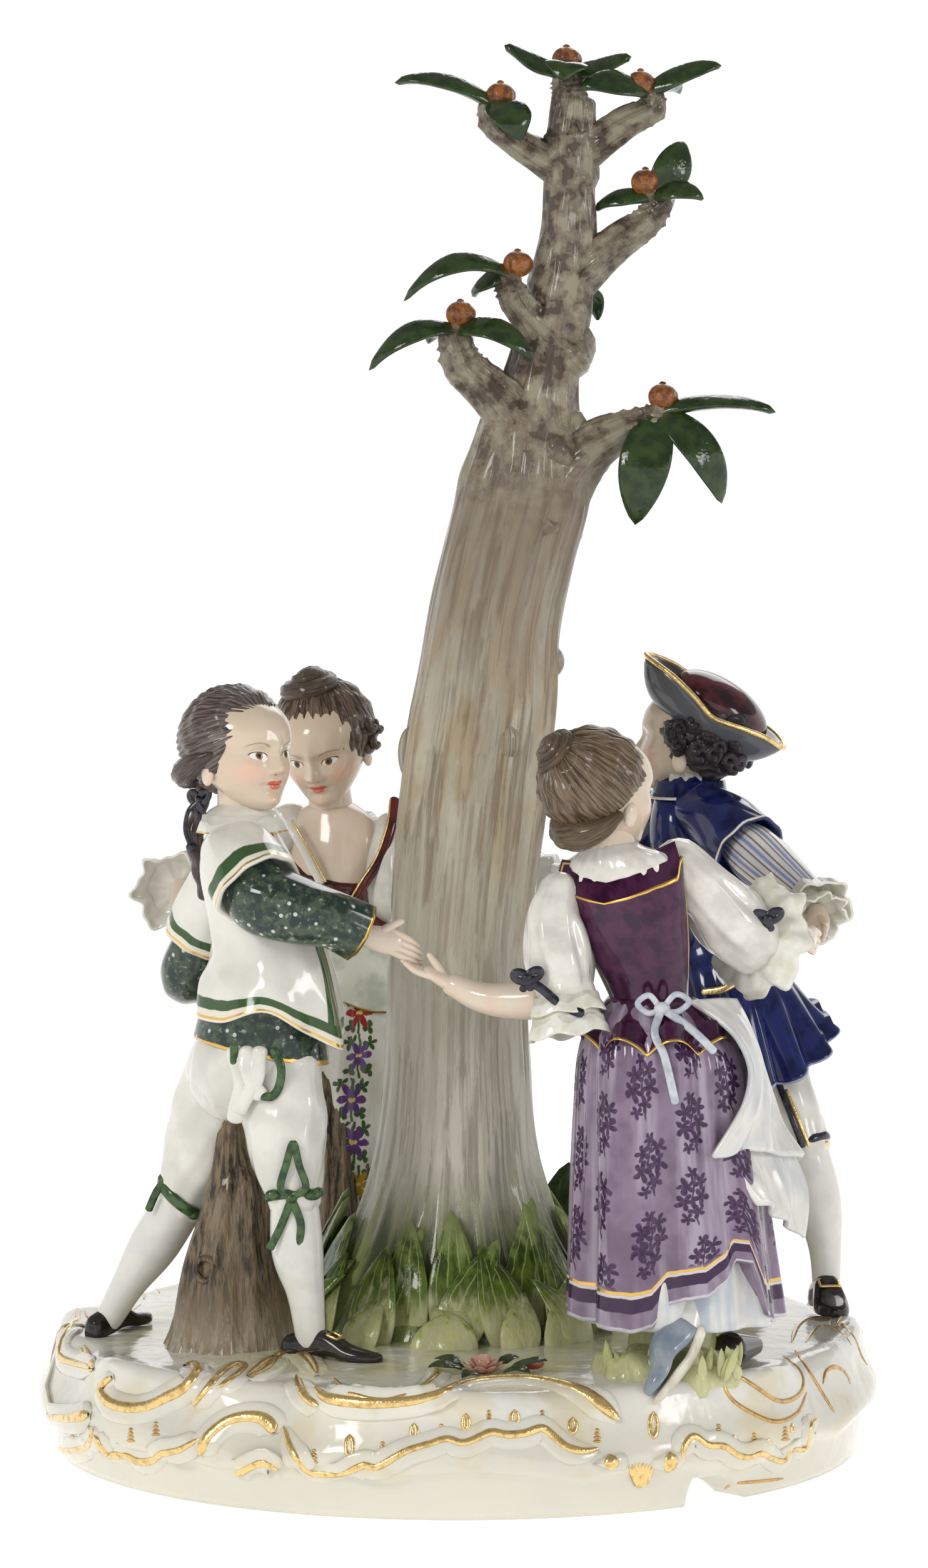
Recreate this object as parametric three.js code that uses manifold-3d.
import * as THREE from "three";
import { SimplifyModifier } from "three/addons/modifiers/SimplifyModifier.js";
import { mergeVertices } from "three/addons/utils/BufferGeometryUtils.js";
import Module from "manifold-3d";

// Porcelain figure group: four children dance hand in hand round a tree, on a low scrolled base.
// Millimetres, +Z up, origin at the centre of the underside. The viewer stands on the -Y side.

// Driving dimensions
const BASE_RADIUS = 86; // widest line of the scrolled rim
const FOOT_RADIUS = 81; // outer edge of the foot ring that it stands on
const FOOT_INNER = 73; // inner edge of the foot ring
const RECESS = 3; // how far the underside is hollowed inside the foot ring
const GROUND = 24.5; // top of the base where the dancers tread
const RIM_LOBES = 8; // scrolls round the rim
const NOTCH = { angle: -54, width: 8.5, height: 5.5 }; // old chip-like gap in the foot ring
const TRUNK_SIDES = 20;
const LEAF_THICK = 1.5;
const BLADE_COUNT = 16; // grass blades round the tree's foot
const SKIRT_SIDES = 42;
const SKIRT_FOLDS = 9;
const FACES = 9900; // triangles left after thinning the joined surface

const wasm = await Module();
wasm.setup();

const TURN = Math.PI * 2;
const radians = THREE.MathUtils.degToRad;
const vec = (p) => new THREE.Vector3(...p);
const heading = (yaw) => new THREE.Vector3(Math.cos(radians(yaw)), Math.sin(radians(yaw)), 0);
const around = (count) => Array.from({ length: count }, (_, i) => (i / count) * TURN);

// Solids

function solidOf(geometry) {
  geometry.deleteAttribute("normal");
  geometry.deleteAttribute("uv");
  const merged = mergeVertices(geometry, 1e-4);
  const corners = merged.index.array;
  const make = (order) => new wasm.Manifold(new wasm.Mesh({
    numProp: 3,
    vertProperties: Float32Array.from(merged.attributes.position.array),
    triVerts: Uint32Array.from(corners, (_, i) => corners[i - (i % 3) + order[i % 3]]),
  }));
  const made = make([0, 1, 2]);
  return made.volume() < 0 ? make([0, 2, 1]) : made;
}

function joined(solids) {
  return solids.reduce((whole, next) => whole.add(next));
}

// A skin over a run of closed sections, each with the same count of points, closed by a fan at both ends.
function skin(sections) {
  const count = sections[0].length;
  const middle = (section) => section.reduce((sum, p) => sum.add(p), vec([0, 0, 0])).divideScalar(count);
  const points = [...sections.flat(), middle(sections[0]), middle(sections.at(-1))];
  const corners = [];
  sections.forEach((_, row) => around(count).forEach((__, i) => {
    const a = row * count + i;
    const b = row * count + ((i + 1) % count);
    if (row === 0) corners.push(points.length - 2, b, a);
    if (row === sections.length - 1) corners.push(points.length - 1, a, b);
    else corners.push(a, b, b + count, a, b + count, a + count);
  }));
  return solidOf(new THREE.BufferGeometry().setFromPoints(points).setIndex(corners));
}

// An ellipse round a centre, spanned by two half-axes; reach(angle) swells or draws in its radius.
function ring(centre, side, front, count, reach = () => 1) {
  return around(count).map((a) => centre.clone()
    .addScaledVector(side, Math.cos(a) * reach(a))
    .addScaledVector(front, Math.sin(a) * reach(a)));
}

// A limb through stations of [x, y, z, radius], its sections square to its path.
function limb(stations, sides = 9) {
  const points = stations.map((s) => vec(s.slice(0, 3)));
  let across = null;
  const sections = points.map((point, i) => {
    const along = points[Math.min(i + 1, points.length - 1)].clone()
      .sub(points[Math.max(i - 1, 0)]).normalize();
    if (!across) {
      const helper = Math.abs(along.z) > 0.8 ? vec([1, 0, 0]) : vec([0, 0, 1]);
      across = helper.cross(along);
    }
    across = across.addScaledVector(along, -across.dot(along)).normalize();
    const up = along.clone().cross(across);
    const radius = stations[i][3];
    return ring(point, across.clone().multiplyScalar(radius), up.multiplyScalar(radius), sides);
  });
  return skin(sections);
}

// A body of level sections, stations of [x, y, z, half width, half depth, tilt along x, tilt along y].
function stack(yaw, stations, sides = 16, reach = () => 1) {
  const side = heading(yaw + 90);
  const front = heading(yaw);
  return skin(stations.map(([x, y, z, wide, deep, tiltX = 0, tiltY = 0], i) => {
    const level = ring(vec([x, y, z]), side.clone().multiplyScalar(wide),
      front.clone().multiplyScalar(deep), sides, (a) => reach(a, i));
    level.forEach((p) => { p.z += tiltX * (p.x - x) + tiltY * (p.y - y); });
    return level;
  }));
}

function blob([x, y, z], [along, wide, tall], turn = new THREE.Matrix4(), sides = 10, rows = 7) {
  const ball = new THREE.SphereGeometry(1, sides, rows);
  ball.rotateX(Math.PI / 2).scale(along, wide, tall).translate(x, y, z).applyMatrix4(turn);
  return solidOf(ball);
}

// A leaf or blade of grass, arched by its sag, with a raised rib under it.
function leaf(from, to, width, sag, faceTo = [0, 0, 1], thick = LEAF_THICK) {
  const rows = 6;
  const start = vec(from);
  const end = vec(to);
  const face = vec(faceTo);
  const sections = [];
  for (let i = 0; i <= rows; i++) {
    const t = i / rows;
    const along = end.clone().sub(start).normalize();
    const across = face.clone().cross(along).normalize();
    const up = along.clone().cross(across);
    const half = Math.max(0.45, (width / 2) * Math.sin(Math.PI * Math.pow(t * 0.92 + 0.06, 0.85)));
    const centre = start.clone().lerp(end, t).addScaledVector(face, sag * 4 * t * (1 - t));
    const deep = (thick / 2) * (1.15 - 0.5 * t);
    sections.push([
      centre.clone().addScaledVector(across, half).addScaledVector(up, deep),
      centre.clone().addScaledVector(up, deep * 0.7),
      centre.clone().addScaledVector(across, -half).addScaledVector(up, deep),
      centre.clone().addScaledVector(up, -deep),
    ]);
  }
  return skin(sections);
}

// A flared, waved frill round a sleeve's end.
function frill(centre, axis, neck, flare, length, waves = 6) {
  const along = vec(axis).normalize();
  const helper = Math.abs(along.z) > 0.8 ? vec([1, 0, 0]) : vec([0, 0, 1]);
  const across = helper.cross(along).normalize();
  const up = along.clone().cross(across);
  const level = (step, radius, wave) => ring(vec(centre).addScaledVector(along, step),
    across.clone().multiplyScalar(radius), up.clone().multiplyScalar(radius), waves * 4,
    (a) => 1 + wave * Math.cos(waves * a));
  return skin([
    level(0, neck, 0),
    level(length * 0.6, (neck + flare) / 2, 0.05),
    level(length, flare, 0.12),
    level(length * 0.8, neck * 0.7, 0),
  ]);
}

// A shoe from heel to toe, its sole at the lower points' height.
function shoe(heel, toe, wide = 2.9) {
  const start = vec(heel);
  const end = vec(toe);
  const along = end.clone().sub(start);
  const across = vec([0, 0, 1]).cross(along).normalize();
  const profile = [[-0.04, 0.7, 4.6], [0.34, 0.85, 5], [0.62, 1, 3.4], [0.86, 0.85, 2.5], [1, 0.35, 1.6]];
  return skin(profile.map(([t, spread, tall]) => {
    const foot = start.clone().addScaledVector(along, t);
    const at = (s, h) => foot.clone().addScaledVector(across, s * wide * spread).setZ(foot.z + h);
    const waist = tall * 0.45;
    return [at(-0.85, 0), at(0.85, 0), at(1, waist), at(0.5, tall), at(-0.5, tall), at(-1, waist)];
  }));
}

// A head turned by yaw, pitch and roll about its own centre. Its own front is +X and its left +Y.
function head({ at, yaw, pitch, roll, hair }) {
  const turn = new THREE.Matrix4()
    .makeRotationFromEuler(new THREE.Euler(radians(roll), radians(pitch), radians(yaw), "ZYX"))
    .setPosition(vec(at));
  const face = [
    blob([0, 0, 1.2], [10.6, 9.6, 9], turn, 16, 10),
    blob([2.8, 0, -3.2], [8.9, 8.5, 7.7], turn, 16, 10),
    blob([7.6, 0, -8.6], [2.6, 3, 2.2], turn, 8, 6),
    blob([11.4, 0, -2.6], [1.7, 1.3, 1.9], turn, 8, 6),
  ];
  const locks = hair.map(([place, radii]) => blob(place, radii, turn, 14, 10));
  return joined([...face, ...locks]);
}

const BOY_HAIR = [
  [[-2.8, 0, 2.6], [10.6, 10.8, 9.4]],
  [[-4.8, 0, -4], [7.2, 9.6, 6.2]],
  [[0, 8.6, -1], [3.2, 2.4, 3.2]],
  [[0, -8.6, -1], [3.2, 2.4, 3.2]],
];

// A hand as a tapered mitten with its thumb.
function hand(wrist, fingers, thumb) {
  const mid = vec(wrist).lerp(vec(fingers), 0.5);
  return joined([
    limb([[...wrist, 2.1], [...mid.toArray(), 2.7], [...fingers, 1.5]], 8),
    limb([[...mid.toArray(), 1.5], [...thumb, 0.9]], 6),
  ]);
}

// Base

function base() {
  const lobe = (a) => Math.cos(RIM_LOBES * a + 0.6) + 0.35 * Math.cos((RIM_LOBES * 2 + 1) * a);
  const sides = RIM_LOBES * 9;
  const level = (radius, z, swell = 0, lift = 0) => around(sides).map((a) => {
    const r = radius + swell * lobe(a);
    return vec([r * Math.cos(a), r * Math.sin(a), z + lift * lobe(a)]);
  });
  const body = skin([
    level(FOOT_INNER - 1, RECESS),
    level(FOOT_INNER, 0),
    level(FOOT_RADIUS, 0),
    level(FOOT_RADIUS + 1.4, 7.5),
    level(BASE_RADIUS - 0.6, 10, 0.4, 1.2),
    level(BASE_RADIUS - 0.5, 13.5, 0.4, 1.2),
    level(BASE_RADIUS - 2.5, 17, 0.6, 1),
    level(BASE_RADIUS - 4.5, 22, 1.4, 1.1),
    level(BASE_RADIUS - 7.5, 24.3, 1.8, 0.9),
    level(BASE_RADIUS - 12, GROUND - 1.2, 1.6, 0),
    level(58, GROUND),
    level(30, GROUND + 1),
  ]);
  const gap = new THREE.BoxGeometry(FOOT_RADIUS - FOOT_INNER + 14, NOTCH.width, NOTCH.height * 2);
  gap.translate((FOOT_RADIUS + FOOT_INNER) / 2, 0, 0).rotateZ(radians(NOTCH.angle));
  return body.subtract(solidOf(gap));
}

function rose() {
  const at = [5, -60, GROUND];
  const leaves = [[-9, 0], [8, 3], [7, -4]].map(([dx, dy]) => leaf(
    at, [at[0] + dx * 1.3, at[1] + dy, at[2] + 0.4], 4.5, 0.4));
  return joined([blob(at, [5.2, 4.6, 2.6]), ...leaves]);
}

// Tree

const TRUNK = [
  [-1, 0, 20, 34], [-1, 0, 27, 32], [-1, 0, 34, 26.5], [-1, 0, 43, 21.4], [-0.8, 0, 54, 17.4],
  [-0.4, 0, 66, 15.2], [-0.2, 0, 86, 14], [0.4, 0, 104, 14.1], [3.3, 0, 133, 14.7], [5.6, 0, 150, 14.2],
  [7.4, 0, 166, 13], [10.6, 0, 181, 12.8], [13.8, 0, 194, 12.8], [15, 0, 205, 10.4], [16.4, 0, 213, 7.8],
  [18.8, 0, 223, 6.8], [21.4, 0, 236, 6.2], [22.7, 0, 251, 5], [22.7, 0, 261, 5], [23.4, 0, 270.6, 4.2],
];

// Each branch: stations of its wood from the trunk outwards, the place of its nut, and its leaves as
// [tip, width, sag, the way its face looks]. They all spring from the stalk between wood and nut.
const BRANCHES = [
  {
    wood: [[20.4, 0, 257.8, 3.8], [12, -1, 262.6, 2.8], [7.4, -2, 266, 2.5], [6.4, -2, 269, 2.2]],
    nut: [8.6, -2, 271.8],
    leaves: [[[-12.4, -3, 274.8], 6, 1.8, [0.2, -0.4, 1]], [[12.6, -9, 262.8], 8.8, 1.6, [0.4, -1, 0.6]]],
  },
  {
    wood: [[23, 0, 266.8, 4.2], [22.4, -0.5, 274.8, 3.2]],
    nut: [21.8, -1, 279],
    leaves: [
      [[9.6, -2, 282.2], 6, -1.2, [0.3, -0.5, 1]], [[34.6, -2, 280], 6, -0.8, [-0.2, -0.5, 1]],
      [[21, -10, 275], 9, 1.4, [0, -0.6, 1]], [[18, 12, 278], 7, 1, [0, 0.2, 1]],
    ],
  },
  {
    wood: [[25, 0, 260.8, 4], [33, -1, 266.2, 3.1], [38.6, -1, 269, 2.7], [39, -1, 271.4, 2.3]],
    nut: [36.6, -1.5, 274.2],
    leaves: [
      [[52.6, -2, 278.2], 6, 0.6, [-0.2, -0.6, 1]], [[24.4, -7, 273.4], 7, 1, [0, -0.8, 1]],
      [[45, 11, 274], 6.4, 0.8, [0, 0.2, 1]],
    ],
  },
  {
    wood: [[23.4, 0, 236, 5], [31, -1, 242, 3.6], [37.4, -1, 246.4, 3.1], [40.2, -1, 250, 2.7]],
    nut: [37.6, -2.4, 254.6],
    leaves: [
      [[45.6, 1.4, 263], 8, 1, [0.5, -1, 0]], [[49, -6, 251.6], 6, 1, [0, -0.6, 1]],
      [[27.4, 0, 249.6], 5.6, 0.8, [0, -0.5, 1]], [[42, 11, 248.4], 6.6, 1, [0, 0.3, 1]],
    ],
  },
  {
    wood: [[19, -2, 223, 4.6], [12.6, -5, 229.5, 3.2], [10, -6, 234.6, 2.6]],
    nut: [12, -7, 238.2],
    leaves: [[[-10.8, -8, 231.2], 6.4, 4.4, [0, -0.5, 1]], [[2.6, -3, 232.2], 6, 0.8, [0, -0.5, 1]]],
  },
  {
    wood: [[15, -3, 205, 6.4], [7, -5, 212.8, 4.6], [1.6, -6.5, 217.8, 4], [-0.4, -7.2, 223, 3.2]],
    nut: [0.6, -8, 228.2],
    leaves: [
      [[-17.8, -9, 217.4], 6.4, 3, [0, -0.5, 1]], [[15.2, -13, 219.4], 6.8, 2.6, [0, -0.6, 1]],
      [[-6, 5, 223.4], 6.4, 1, [0, 0.3, 1]],
    ],
  },
  {
    wood: [[19, -2, 193, 7.4], [26, -4, 201, 5], [33, -5, 205, 3.8], [39.6, -6, 207, 3]],
    nut: [41, -6.4, 211.8],
    leaves: [
      [[63.6, -7, 209.2], 6, 1.6, [0, -0.3, 1]], [[35.4, -10.5, 186.4], 10.4, 2.4, [-0.2, -1, 0.2]],
      [[53.2, -6, 190.6], 8.6, 2.6, [0.7, -1, 0.5]], [[44, 7, 204.4], 6.8, 1, [0, 0.3, 1]],
    ],
  },
  {
    wood: [[20, 3, 221, 4.2], [23, 9, 228, 2.8], [24, 12, 232, 2.4]],
    nut: [24.4, 13.4, 236.4],
    leaves: [[[29, 17, 227.8], 6, 1, [0.3, 0.5, 1]], [[13, 20, 232.2], 6.4, 1.4, [0, 0.5, 1]]],
  },
];

// A bough with its stalk, its nut and its leaves.
function sprig({ wood, nut, leaves }) {
  const tip = vec(wood.at(-1));
  const stalk = limb([[...tip, 2.1], [...nut, 1.6]]);
  const root = tip.clone().lerp(vec(nut), 0.35).toArray();
  return joined([limb(wood), stalk, blob(nut, [3.2, 3.2, 2.7]), ...leaves.map((l) => leaf(root, ...l))]);
}

function tree() {
  const flute = (a, i) => 1 + (i < 7 ? 0.05 : 0.03) * Math.cos((TRUNK_SIDES / 4) * a + 0.4 * i);
  const trunk = skin(TRUNK.map(([x, y, z, r], i) => ring(
    vec([x, y, z]), vec([r, 0, 0]), vec([0, r, 0]), TRUNK_SIDES, (a) => flute(a, i))));
  const knots = [
    blob([18.6, -2, 158.6], [3.2, 4, 3.4], undefined, 8, 6),
    blob([-8.6, -2, 140], [2.6, 3, 5.4], undefined, 8, 6),
  ];
  const spot = (a, r, z) => [r * Math.cos(a) - 1, r * Math.sin(a), z];
  const blades = around(BLADE_COUNT).map((a, i) => leaf(
    spot(a, 27, 22), spot(a + 0.16, 28, 37 + 4 * (i % 2)), 8, 2, [Math.cos(a), Math.sin(a), 0.4], 2.4));
  const dock = leaf([18, 16, 24], [23, 15, 54.6], 14, 2, [0.2, -1, 0.2], 2.4);
  return joined([trunk, ...knots, ...BRANCHES.map(sprig), ...blades, dock]);
}

// Dancers

// The boy in the white jacket, in front on the left, treading to the right.
function whiteBoy() {
  const jacket = stack(-24, [
    [-41.6, -30.5, 129, 4.6, 4.4], [-42, -30.5, 125, 10.4, 6.6], [-41, -30, 119, 11.6, 8.8],
    [-38.6, -30.4, 110, 10.8, 10.4], [-36.8, -31, 102, 11.4, 12],
    [-36.6, -31.4, 94, 13.4, 14, -0.16], [-37, -31, 88, 11, 11, -0.16],
  ]);
  const hips = stack(-35, [
    [-38.4, -30, 96, 11, 11], [-38.6, -30, 84.4, 12.4, 12.6, -0.18], [-40, -30, 81, 12.8, 13.6],
    [-40.6, -29.6, 75, 11.4, 11.6], [-41, -29, 71, 6, 6],
  ]);
  const legs = [
    limb([
      [-35, -35, 80, 8], [-33.6, -38, 70, 7.7], [-32.6, -40.4, 61, 6.2], [-31.8, -42, 55, 5],
      [-31.2, -42.6, 45.5, 4.9], [-29.6, -43, 37, 3.5], [-28.6, -43.4, 28, 2.9],
    ]),
    limb([
      [-45, -25, 80, 8.6], [-49, -21, 67, 8], [-53, -18.4, 56, 5.6], [-55.6, -17, 50, 5],
      [-60.6, -14.8, 42.5, 4.8], [-66, -13, 34, 3.3], [-69, -12, 27, 2.8],
    ]),
  ];
  const arms = [
    limb([[-43, -36, 122, 6.4], [-41, -40.5, 119.6, 7.2], [-36.8, -44.6, 116.8, 7.6]]),
    limb([
      [-38, -43.5, 117.4, 6], [-31, -46, 113, 6.3], [-25, -45.8, 110.4, 5.8],
      [-17.4, -43, 108, 5.2],
    ]),
    limb([[-43, -24, 122, 6.4], [-48, -16, 112, 6.8], [-50.6, -11, 104, 6.6]]),
    limb([[-50, -12, 105.5, 5.4], [-52.6, -8, 97.4, 5.8], [-52.6, 0, 96, 5], [-51.4, 6, 99, 3.2]]),
  ];
  const hands = [
    hand([-19, -43.4, 108], [-7.6, -41, 104.4], [-10.6, -41.6, 110]),
    hand([-51.4, 5, 99], [-51, 12, 104], [-50, 7, 104]),
  ];
  const shoes = [
    shoe([-33, -41.6, GROUND - 1], [-14.6, -50, GROUND - 1]),
    shoe([-73, -15, GROUND - 2], [-62.6, 0, GROUND - 1]),
  ];
  const stump = limb([
    [-45.4, -27, 20, 14], [-45, -27, 27, 11.4], [-44.2, -27.4, 38, 8.4], [-43, -28, 52, 6.2],
    [-42.6, -28.6, 63, 3.8], [-43, -29, 72, 3.4],
  ]);
  const tail = limb([
    [-52.4, -24, 138, 3], [-50.8, -24.6, 132.6, 1.7], [-51.4, -25, 124, 2.1], [-50, -26, 114, 1.2],
  ], 6);
  const crown = head({ at: [-42.6, -30.5, 144], yaw: -40, pitch: 0, roll: 0, hair: BOY_HAIR });
  const collar = stack(-24, [[-41.4, -30.6, 125, 8.4, 7.6], [-41.8, -30.4, 129.4, 5.4, 5.2]]);
  const neck = limb([[-42, -30.4, 124, 4.6], [-42, -30.4, 138, 4.6]]);
  return joined([hips, jacket, ...legs, ...arms, ...hands, ...shoes, stump, tail, collar, neck, crown]);
}

// The girl in the dark red bodice, behind on the left.
function redGirl() {
  const bodice = stack(-112, [
    [-26.4, 47, 126, 4.8, 4.6], [-26.6, 47, 122, 10.6, 6.6], [-26, 46.6, 117, 11.6, 8],
    [-24.6, 46, 110, 9.6, 8.2], [-23, 46, 103, 7.8, 7], [-22.4, 46, 97, 8.6, 8],
  ]);
  const fold = (a, i) => 1 + 0.035 * Math.min(i, 3) * Math.cos(SKIRT_FOLDS * a);
  const skirt = stack(-112, [
    [-22.4, 46, 99, 7.8, 7.4], [-22.8, 46.4, 93, 13.4, 12.4], [-23.4, 46.8, 84, 16.6, 15.4],
    [-24.6, 47, 62, 18.6, 17], [-26, 48, 33, 20.8, 18.6], [-26, 48, 28, 14, 12],
  ], SKIRT_SIDES, fold);
  const arms = [
    limb([
      [-36, 49, 121, 5.4], [-47, 43, 115, 5.6], [-57, 32, 111, 4.8], [-56, 22, 107, 3],
      [-53, 15, 105, 2.4],
    ]),
    limb([
      [-15.6, 43.6, 121, 5.4], [-12, 46, 114, 5.4], [-7, 50, 107.4, 4.6], [2, 54.6, 106, 2.8],
      [8, 56.4, 106, 2.3],
    ]),
  ];
  const frills = [
    frill([-57.2, 30, 110.6], [0.1, -1, -0.3], 4.6, 8, 7),
    frill([-8, 49.4, 107.6], [0.9, 0.4, -0.2], 4.6, 7.4, 6),
  ];
  const hands = [
    hand([-53, 15, 105], [-50.6, 6, 101], [-49, 11, 106]),
    hand([8, 56.4, 106], [16, 57, 107], [12, 56, 110]),
  ];
  const support = limb([
    [-27, 27, 20, 8.6], [-26.6, 28, 30, 6.2], [-26, 30, 48, 4.6], [-26, 33, 64, 4.2],
    [-26, 36, 76, 4],
  ], 8);
  const toes = limb([[-36, 34, 25.6, 3.2], [-38.4, 25.6, 25, 1.8]], 6);
  const crown = head({
    at: [-28.4, 45.6, 142], yaw: -104, pitch: 14, roll: 2,
    hair: [
      [[-2.4, 0, 3.8], [10.8, 10.4, 9.2]],
      [[-5.2, 0, -2.4], [6.8, 8.6, 7.2]],
      [[-3.6, -2, 11], [5.6, 6.6, 3.6]],
      [[-1.6, -8.6, -1.6], [3, 2.4, 5]],
      [[-1.6, 8.6, -1.6], [3, 2.4, 5]],
    ],
  });
  const neck = limb([[-26.2, 46.8, 122, 4.4], [-27.8, 46, 136, 4.4]]);
  return joined([bodice, skirt, ...arms, ...frills, ...hands, support, toes, neck, crown]);
}

// The girl in the plum bodice and lilac skirt, in front on the right, seen from behind.
function plumGirl() {
  const bodice = stack(60, [
    [30, -47, 126.4, 4.6, 4.6], [30.4, -47, 121.6, 11.6, 6.6, 0.22], [31, -47, 117.6, 13.4, 8, 0.2],
    [33.4, -47, 110, 11.8, 8.6, 0.08], [35.6, -47, 102, 9.4, 7.6], [37.4, -47, 95, 7.4, 6.8],
    [38, -47.4, 88, 10, 9],
  ]);
  const fold = (a, i) => 1 + 0.03 * Math.min(i, 3) * Math.cos(SKIRT_FOLDS * a + 0.6);
  const skirt = stack(90, [
    [37.8, -47, 96, 7.4, 7], [38.8, -47.4, 91.6, 12.8, 11.6], [40, -48, 85, 16, 14.6],
    [40.2, -48.4, 74, 16.9, 15.8], [41, -48.4, 54, 18.2, 16.7],
    [42.2, -48.6, 33.6, 20.2, 17.2, 0.12, -0.1], [44, -46, 30, 14, 12],
  ], SKIRT_SIDES, fold);
  const apron = limb([
    [47, -44, 94, 3], [54, -42, 86, 5], [60, -41, 76, 5], [64, -42, 65, 5.4], [66, -42, 56, 4],
    [66.8, -42, 48, 1.4],
  ], 6);
  const apronCorner = leaf([60, -42, 72], [49.6, -62, 66.6], 14, 1, [0.5, -0.5, 0.6], 2.4);
  const arms = [
    limb([
      [21, -48, 118, 5], [19.6, -49.6, 110, 5.6], [20.4, -50.6, 101, 5.6], [20.6, -50.6, 95.4, 4.6],
    ]),
    limb([
      [21.6, -50.6, 95.6, 3.9], [12, -48.4, 94.8, 3.7], [5, -46, 95, 3.2], [-0.6, -44.4, 97.6, 2.4],
    ]),
    limb([[43.4, -46, 121, 5], [49, -45, 115, 5.6], [55, -43, 109, 5.8], [60.6, -40, 106.4, 4.8]]),
    limb([[60, -40, 106.4, 3.4], [65, -34, 106, 2.8], [68.4, -28.4, 105.6, 2.3]], 7),
  ];
  const frills = [
    frill([22.4, -50.8, 95.2], [-0.5, 0.1, -0.9], 4.6, 7.6, 6),
    frill([59.4, -41, 106.4], [0.8, 0.6, -0.1], 4.8, 10.4, 5),
  ];
  const bows = [
    blob([16.6, -55.6, 100], [3.4, 1.4, 1.6]),
    blob([61, -45.4, 110], [3, 1.6, 1.8]),
    blob([39.4, -55.6, 94.6], [4.6, 1.8, 2]),
  ];
  const hands = [
    hand([-0.6, -44.4, 97.6], [-10.8, -42, 101.4], [-5.4, -43.4, 103]),
    hand([68.4, -28.4, 105.6], [71.4, -19.4, 103.4], [69, -22, 107.4]),
  ];
  const shoes = [
    limb([[44, -60, 36, 3.4], [43, -63.6, 32, 3.7], [40, -68, 27, 3.2], [36.8, -72.4, 21.4, 1.5]], 7),
    limb([[45.4, -63, 31, 1.6], [47, -66.4, 27.6, 1.3]], 6),
    limb([[53, -47, 26.6, 3.6], [58, -39, 26, 2]], 6),
  ];
  const turf = blob([40, -57, GROUND - 1], [15, 11, 6], undefined, 12, 7);
  const pillar = limb([[42, -46, 22, 9], [42, -47, 42, 8]], 8);
  const crown = head({
    at: [27.6, -47, 137], yaw: 42, pitch: 6, roll: 0,
    hair: [
      [[-2.6, 0, 2.2], [10.8, 10.4, 9.4]],
      [[-5, 0, -4.6], [7, 9, 6.4]],
      [[-9, 2.6, 6.4], [3.8, 3.8, 3.8]],
    ],
  });
  const neck = limb([[30, -47, 122, 4.4], [28.8, -47, 132, 4.4]]);
  const figure = [bodice, skirt, ...arms, ...hands, neck, crown];
  return joined([...figure, apron, apronCorner, ...frills, ...bows, ...shoes, turf, pillar]);
}

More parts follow.
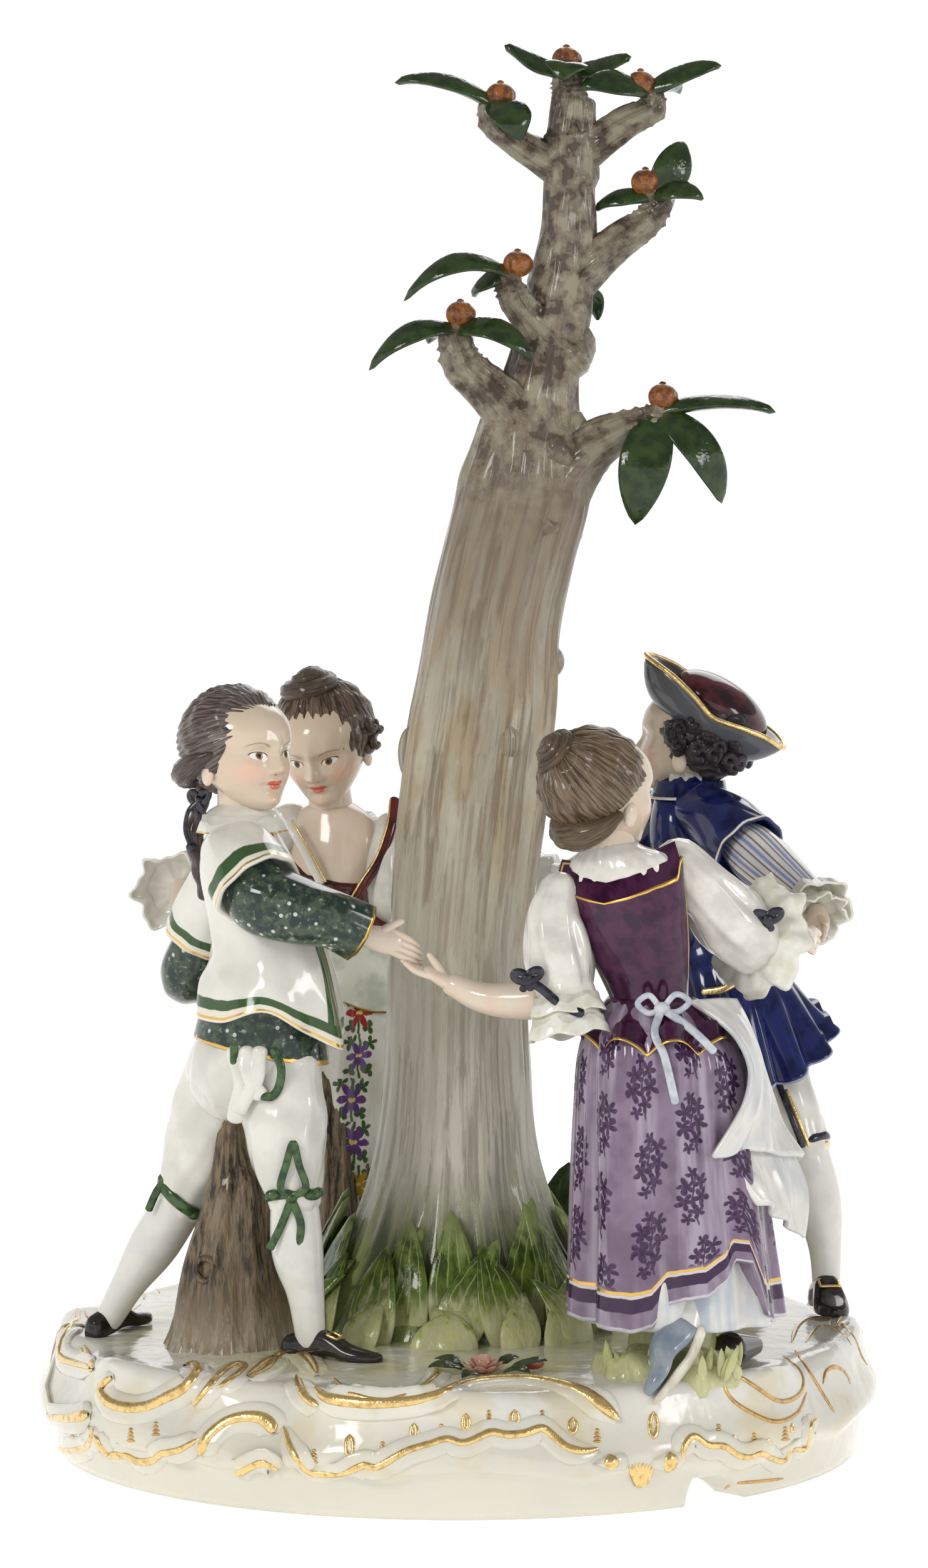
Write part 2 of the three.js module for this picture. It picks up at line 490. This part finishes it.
// The boy in the blue coat and cocked hat, behind on the right.
function blueBoy() {
  const coat = stack(148, [
    [47, 29.4, 132, 4.6, 4.4], [48.4, 28.6, 128, 10.4, 6.6], [49.4, 28, 121, 12, 9],
    [50.6, 28, 110, 10.8, 9.6], [53, 27.4, 100, 10.4, 10], [57, 25.6, 90, 13.4, 14, -0.06],
    [61.4, 23.4, 80, 15, 16.4, 0.3, -0.1], [60, 24, 72, 9, 9, 0.2],
  ]);
  const legs = [
    limb([
      [62, 22, 80, 7], [67, 18, 68, 6.4], [71, 15, 58, 4.9], [74, 14, 47, 4.7],
      [75.6, 14.6, 37, 3.2], [76, 15, 28, 2.8],
    ]),
    limb([
      [52, 30, 80, 7.4], [46, 36, 66, 6.4], [42, 39, 55, 4.9], [39.4, 40, 44, 4.6],
      [37, 41, 28, 2.8],
    ]),
  ];
  const arms = [
    limb([[50, 21.6, 126, 6.4], [55.6, 14, 123, 7.2], [60.4, 7, 119.6, 7.4]]),
    limb([[59.6, 8, 120, 5], [66, -1, 115, 5], [71.4, -8.4, 110.4, 4.2]]),
    limb([[46, 35, 126, 6.4], [39, 43, 120, 6.8], [32, 49.6, 115, 6.4]]),
    limb([[33, 49, 115.6, 5], [26, 54, 110, 4.6], [21, 56, 108, 4]]),
  ];
  const frills = [
    frill([69.8, -6, 111.6], [0.35, -0.8, -0.45], 4, 7.6, 6),
    frill([25, 54.6, 109.6], [-0.9, 0.3, -0.2], 4, 7, 5),
  ];
  const hands = [
    hand([72.4, -11, 108.6], [71, -20.4, 103.4], [73.4, -17, 107]),
    hand([21, 56, 108], [12, 57, 105], [15, 56, 109.6]),
  ];
  const shoes = [
    shoe([75.6, 18, GROUND - 1], [77, 3.6, GROUND - 1]),
    shoe([38.6, 37, GROUND - 1], [29, 46.6, GROUND - 1]),
  ];
  const stump = limb([
    [55, 31, 20, 12], [55, 30.6, 30, 9], [55.4, 30, 46, 6.4], [56, 29, 62, 5], [56, 28, 76, 4.4],
  ]);
  const crown = head({ at: [49, 29.6, 141.6], yaw: 160, pitch: 0, roll: 0, hair: BOY_HAIR });
  const neck = limb([[47.4, 29.6, 127, 4.6], [47.6, 29.6, 137, 4.6]]);
  return joined([coat, ...legs, ...arms, ...frills, ...hands, ...shoes, stump, neck, crown, cockedHat()]);
}

// The three-cornered hat, set back on the head: a domed crown in a brim turned up on three sides.
function cockedHat() {
  const turn = new THREE.Matrix4()
    .makeRotationFromEuler(new THREE.Euler(radians(-14), radians(-33), radians(196), "ZYX"))
    .setPosition(53.4, 27.6, 147.6);
  const edge = (radius, z, pinch, lift) => around(24).map((a) => {
    const corner = Math.cos(3 * a);
    const reach = radius * (1 + pinch * corner);
    return vec([reach * Math.cos(a), reach * Math.sin(a), z - lift * corner]).applyMatrix4(turn);
  });
  const brim = skin([
    edge(9, -2, 0.05, 0), edge(12.6, -0.4, 0.26, 0.8), edge(14.6, 5, 0.3, 2.4), edge(13.4, 5.6, 0.28, 2.4),
    edge(9.8, 2.2, 0.1, 0.6),
  ]);
  return joined([brim, blob([0, 0, 1.4], [9.8, 9.6, 6.8], turn, 14, 10)]);
}

// The outer skin alone: small pockets shut in between joined forms are left solid.
function outerBody(solid) {
  return solid.decompose().reduce((largest, next) => (next.volume() > largest.volume() ? next : largest));
}

function geometryOf(solid) {
  const { vertProperties, triVerts } = solid.getMesh();
  return new THREE.BufferGeometry()
    .setAttribute("position", new THREE.BufferAttribute(vertProperties, 3))
    .setIndex(new THREE.BufferAttribute(triVerts, 1));
}

const parts = { base, rose, tree, whiteBoy, redGirl, plumGirl, blueBoy };
const whole = joined(Object.values(parts).map((make) => make()));
const fine = geometryOf(outerBody(whole));
const spare = fine.attributes.position.count - FACES / 2;
const light = await new SimplifyModifier().modify(fine, spare);
const body = outerBody(solidOf(light));
const glaze = new THREE.MeshStandardMaterial({ color: 0xf1ede2, roughness: 0.12 });
const porcelain = new THREE.Mesh(geometryOf(body), glaze);
porcelain.name = "porcelain_group";

const group = new THREE.Group();
group.add(porcelain);

export default group;
